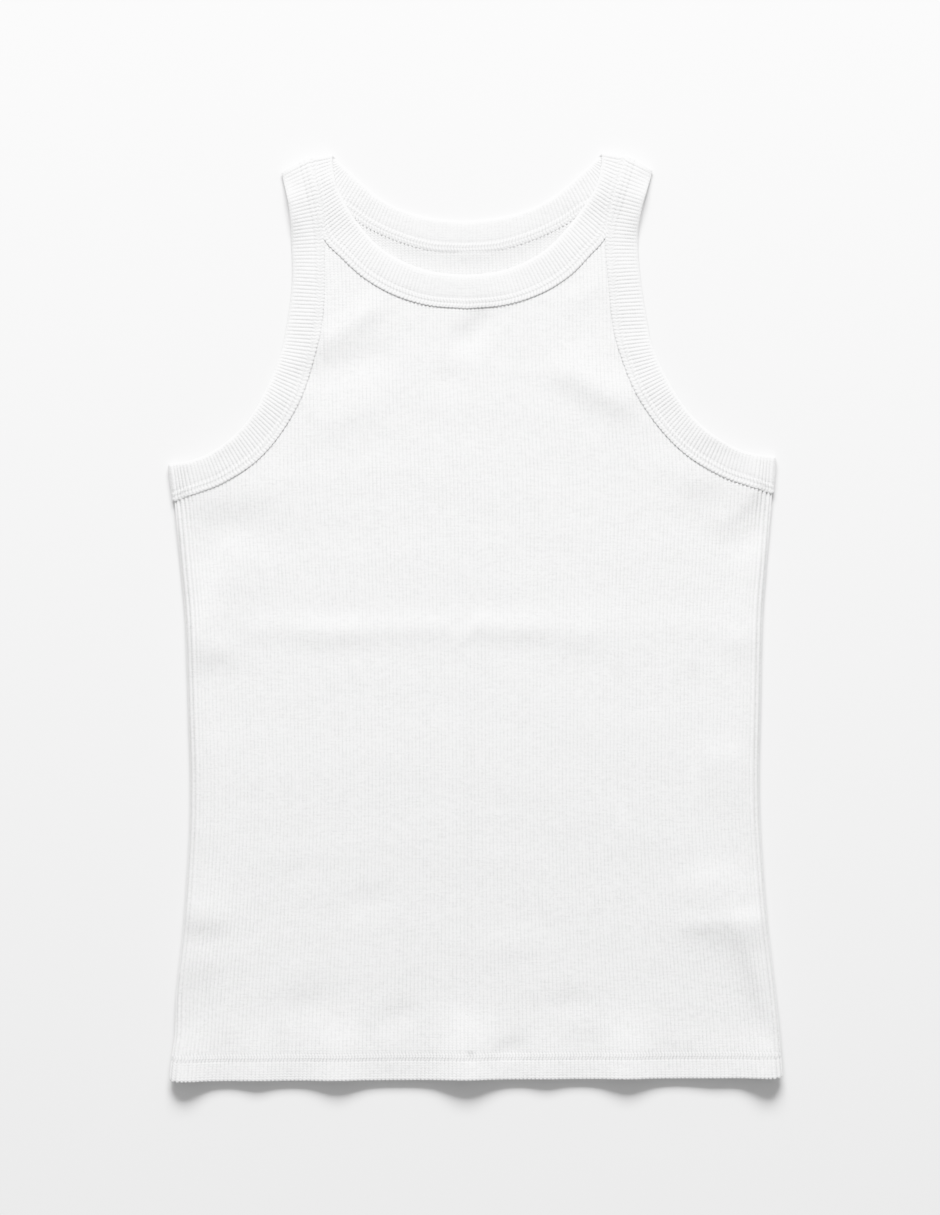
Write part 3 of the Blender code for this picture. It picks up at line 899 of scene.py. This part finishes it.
def rib_knit(name, crest_hex, groove_shade_hex, loop_mm, bump, groove_shade_strength):
    """Combed cotton rib knit, bleached white: matt, soft, a faint sheen; painted shade darkens the grooves
    between the ribs and the needle pits, and rows of small V-shaped loops run along every rib."""
    material = bpy.data.materials.new(name)
    material.use_nodes = True
    tree = material.node_tree
    shader = tree.nodes["Principled BSDF"]
    shader.inputs["Roughness"].default_value = 0.92
    shader.inputs["IOR"].default_value = 1.5
    shader.inputs["Specular IOR Level"].default_value = 0.25
    shader.inputs["Sheen Weight"].default_value = 0.12
    shader.inputs["Sheen Roughness"].default_value = 0.5
    knit = add_node(tree, "ShaderNodeAttribute", {"attribute_name": "knit"})
    axes = add_node(tree, "ShaderNodeSeparateXYZ", links={0: knit.outputs["Vector"]})
    wale = add_node(tree, MATH, {"operation": "FRACT"}, links={0: axes.outputs["X"]})
    centred = add_node(tree, MATH, {"operation": "SUBTRACT"}, {1: 0.5}, {0: wale.outputs[0]})
    off_crest = add_node(tree, MATH, {"operation": "ABSOLUTE"}, links={0: centred.outputs[0]})
    from_crest = off_crest.outputs[0]

    # Loops: a sine along the rib, shifted away from its crest so that they point like a V
    slant = add_node(tree, MATH, {"operation": "MULTIPLY"}, {1: LOOP_SLANT}, {0: from_crest})
    course = add_node(tree, MATH, {"operation": "DIVIDE"}, {1: loop_mm}, {0: axes.outputs["Y"]})
    parts = {0: course.outputs[0], 1: slant.outputs[0]}
    loop_at = add_node(tree, MATH, {"operation": "ADD"}, links=parts)
    turn = add_node(tree, MATH, {"operation": "MULTIPLY"}, {1: FULL_TURN}, {0: loop_at.outputs[0]})
    loops = add_node(tree, MATH, {"operation": "SINE"}, links={0: turn.outputs[0]})
    place = add_node(tree, "ShaderNodeTexCoord")
    spot = {"Vector": place.outputs["Object"]}
    fuzz_scale = {"Scale": 900.0, "Detail": 3.0, "Roughness": 0.65}
    fuzz = add_node(tree, NOISE, None, fuzz_scale, spot)
    loop_part = add_node(tree, MATH, {"operation": "MULTIPLY"}, {1: LOOP_SHARE}, {0: loops.outputs[0]})
    parts = {0: loop_part.outputs[0], 1: fuzz.outputs["Fac"]}
    height = add_node(tree, MATH, {"operation": "ADD"}, links=parts)
    depth = {"Strength": bump, "Distance": 0.0003}
    relief = add_node(tree, "ShaderNodeBump", None, depth, {"Height": height.outputs[0]})

    # Grooves: painted shade, darker from 0.22 of a rib off its crest, unevenly
    fade = {"From Min": 0.22, "From Max": 0.5, "To Min": 0.0, "To Max": groove_shade_strength}
    smooth = {"interpolation_type": "SMOOTHSTEP"}
    groove = add_node(tree, "ShaderNodeMapRange", smooth, fade, {"Value": from_crest})
    uneven = add_node(tree, NOISE, None, {"Scale": 160.0, "Detail": 2.0}, spot)
    parts = {0: groove.outputs[0], 1: uneven.outputs["Fac"]}
    painted_groove_shade = add_node(tree, MATH, {"operation": "MULTIPLY"}, links=parts)

    # Yarn: fine slubs drawn out across the ribs, and grain
    across = {0: place.outputs["Object"]}
    stretch = add_node(tree, "ShaderNodeVectorMath", {"operation": "MULTIPLY"}, {1: (0.16, 1.0, 1.0)}, across)
    slub_scale = {"Scale": 1100.0, "Detail": 2.0, "Roughness": 0.7}
    slub = add_node(tree, NOISE, None, slub_scale, {"Vector": stretch.outputs[0]})
    grain = add_node(tree, NOISE, None, {"Scale": 1500.0, "Detail": 1.0}, spot)
    parts = {0: slub.outputs["Fac"], 1: grain.outputs["Fac"]}
    mottle = add_node(tree, MATH, {"operation": "ADD"}, links=parts)
    spread = {"From Min": 0.6, "From Max": 1.4, "To Min": -0.55, "To Max": 0.85}
    shade = add_node(tree, "ShaderNodeMapRange", None, spread, {"Value": mottle.outputs[0]})

    # Cover stitch: slanting threads where the stitching shows
    cover = add_node(tree, "ShaderNodeAttribute", {"attribute_name": "stitch"})
    thread = add_node(tree, "ShaderNodeSeparateXYZ", links={0: cover.outputs["Vector"]})
    along = add_node(tree, MATH, {"operation": "DIVIDE"}, {1: THREAD_RUN}, {0: thread.outputs["X"]})
    lean = add_node(tree, MATH, {"operation": "DIVIDE"}, {1: THREAD_LEAN}, {0: thread.outputs["Y"]})
    parts = {0: along.outputs[0], 1: lean.outputs[0]}
    thread_at = add_node(tree, MATH, {"operation": "ADD"}, links=parts)
    turn = add_node(tree, MATH, {"operation": "MULTIPLY"}, {1: FULL_TURN}, {0: thread_at.outputs[0]})
    threads = add_node(tree, MATH, {"operation": "SINE"}, links={0: turn.outputs[0]})
    parts = {0: threads.outputs[0], 1: thread.outputs["Z"]}
    strokes = add_node(tree, MATH, {"operation": "MULTIPLY"}, links=parts)
    stroke_part = add_node(tree, MATH, {"operation": "MULTIPLY"}, {1: THREAD_SHADE}, {0: strokes.outputs[0]})

    # Colour: crest to the groove shade colour by the sum of the three, then painted shade, darker still, in
    # the needle pits
    parts = {0: painted_groove_shade.outputs[0], 1: stroke_part.outputs[0]}
    knitted = add_node(tree, MATH, {"operation": "ADD"}, links=parts)
    parts = {0: knitted.outputs[0], 1: shade.outputs[0]}
    total = add_node(tree, MATH, {"operation": "ADD", "use_clamp": True}, links=parts)
    colour = add_node(tree, "ShaderNodeMix", {"data_type": "RGBA"}, None, {"Factor": total.outputs[0]})
    colour.inputs["A"].default_value = linear(crest_hex)
    # the colour of the painted shade in the grooves, which thread strokes and mottle also lean to
    colour.inputs["B"].default_value = linear(groove_shade_hex)
    clamped = {"operation": "MULTIPLY", "use_clamp": True}
    # Needle pits: painted shade, towards a dark grey by the pit share
    pit_shade_share = add_node(tree, MATH, clamped, {1: PIT_SHADE}, {0: axes.outputs["Z"]})
    parts = {"Factor": pit_shade_share.outputs[0], "A": colour.outputs["Result"]}
    stitched = add_node(tree, "ShaderNodeMix", {"data_type": "RGBA"}, None, parts)
    stitched.inputs["B"].default_value = linear("#7E7E7E")
    tree.links.new(stitched.outputs["Result"], shader.inputs["Base Color"])
    tree.links.new(relief.outputs["Normal"], shader.inputs["Normal"])
    return material


def plain_floor():
    """Matt white studio board: even, with a hardly visible unevenness."""
    material = bpy.data.materials.new("matt_white_board")
    material.use_nodes = True
    tree = material.node_tree
    shader = tree.nodes["Principled BSDF"]
    shader.inputs["Roughness"].default_value = 0.95
    shader.inputs["Specular IOR Level"].default_value = 0.1
    place = add_node(tree, "ShaderNodeTexCoord")
    spot = {"Vector": place.outputs["Object"]}
    cloud = add_node(tree, NOISE, None, {"Scale": 2.0, "Detail": 1.0}, spot)
    colour = add_node(tree, "ShaderNodeMix", {"data_type": "RGBA"}, None, {"Factor": cloud.outputs["Fac"]})
    colour.inputs["A"].default_value = linear("#E9E9E9")
    colour.inputs["B"].default_value = linear("#EAEAEA")
    tree.links.new(colour.outputs["Result"], shader.inputs["Base Color"])
    return material


# Studio


def floor():
    """A level board six metres across, a hair under the shirt."""
    mesh = bpy.data.meshes.new("floor")
    half = FLOOR_HALF_M
    corners = [(-half, -half, 0), (half, -half, 0), (half, half, 0), (-half, half, 0)]
    mesh.from_pydata(corners, [], [(0, 1, 2, 3)])
    mesh.materials.append(plain_floor())
    board = bpy.data.objects.new("floor", mesh)
    board.location.z = -FLOOR_DROP_M
    bpy.context.scene.collection.objects.link(board)


def lights():
    """A large soft box beyond the shoulders, low, and even light from all round."""
    lamp = bpy.data.lights.new("soft_box", "AREA")
    lamp.shape = "RECTANGLE"
    lamp.size, lamp.size_y = LAMP_SIZE_M
    lamp.energy = LAMP_POWER
    box = bpy.data.objects.new("soft_box", lamp)
    box.location = LAMP_AT_M
    box.rotation_euler = (Vector((0, 0, 0)) - box.location).to_track_quat("-Z", "Y").to_euler()
    bpy.context.scene.collection.objects.link(box)
    world = bpy.data.worlds.new("studio")
    world.use_nodes = True
    background = world.node_tree.nodes["Background"]
    background.inputs["Color"].default_value = (1.0, 1.0, 1.0, 1.0)
    background.inputs["Strength"].default_value = ROOM_LIGHT
    bpy.context.scene.world = world


def film_response():
    """A camera's response: straight in the greys, soft in the whites, so white cloth on white
    keeps its modelling."""
    view = bpy.context.scene.view_settings
    view.view_transform = "Standard"
    view.use_curve_mapping = True
    mapping = view.curve_mapping
    mapping.use_clip = False
    mapping.clip_max_x = FILM_REACH
    curve = mapping.curves[3]
    curve.points[1].location = FILM_WHITE
    for level, shown in FILM_CURVE:
        curve.points.new(level, shown)
    for point in curve.points:
        point.handle_type = "AUTO_CLAMPED"
    mapping.update()


def camera():
    """Straight down from three metres, the shirt a little right of and below the middle."""
    lens = bpy.data.cameras.new("camera")
    lens.lens = LENS
    lens.sensor_width = SENSOR
    lens.clip_end = SEES_TO_M
    eye = bpy.data.objects.new("camera", lens)
    eye.location = CAMERA_AT_M
    bpy.context.scene.collection.objects.link(eye)
    bpy.context.scene.camera = eye
    film_response()


camera()
lights()
floor()
# The front's face; the inside of the back, a little greyer, which is painted shade; the bindings, with
# fainter painted groove shade
panel_cloth = rib_knit("bleached_cotton_rib_jersey", "#F1F1F1", "#D3D3D3", 1.6, 0.4, 1.0)
# painted shade: the back's inside gets a greyer crest than the front's face
reverse_cloth_painted_shade = rib_knit("bleached_cotton_rib_jersey_reverse_painted_shade", "#EBEBEB", "#D0D0D0", 1.6, 0.4, 1.0)
band_cloth = rib_knit("bleached_cotton_rib_binding", "#EBEBEB", "#D0D0D0", 1.6, 0.2, 0.5)
front = front_panel(panel_cloth)
back = back_panel(reverse_cloth_painted_shade)
neck = neckband(band_cloth)
left = armhole_band("left", -1.0, band_cloth)
right = armhole_band("right", 1.0, band_cloth)
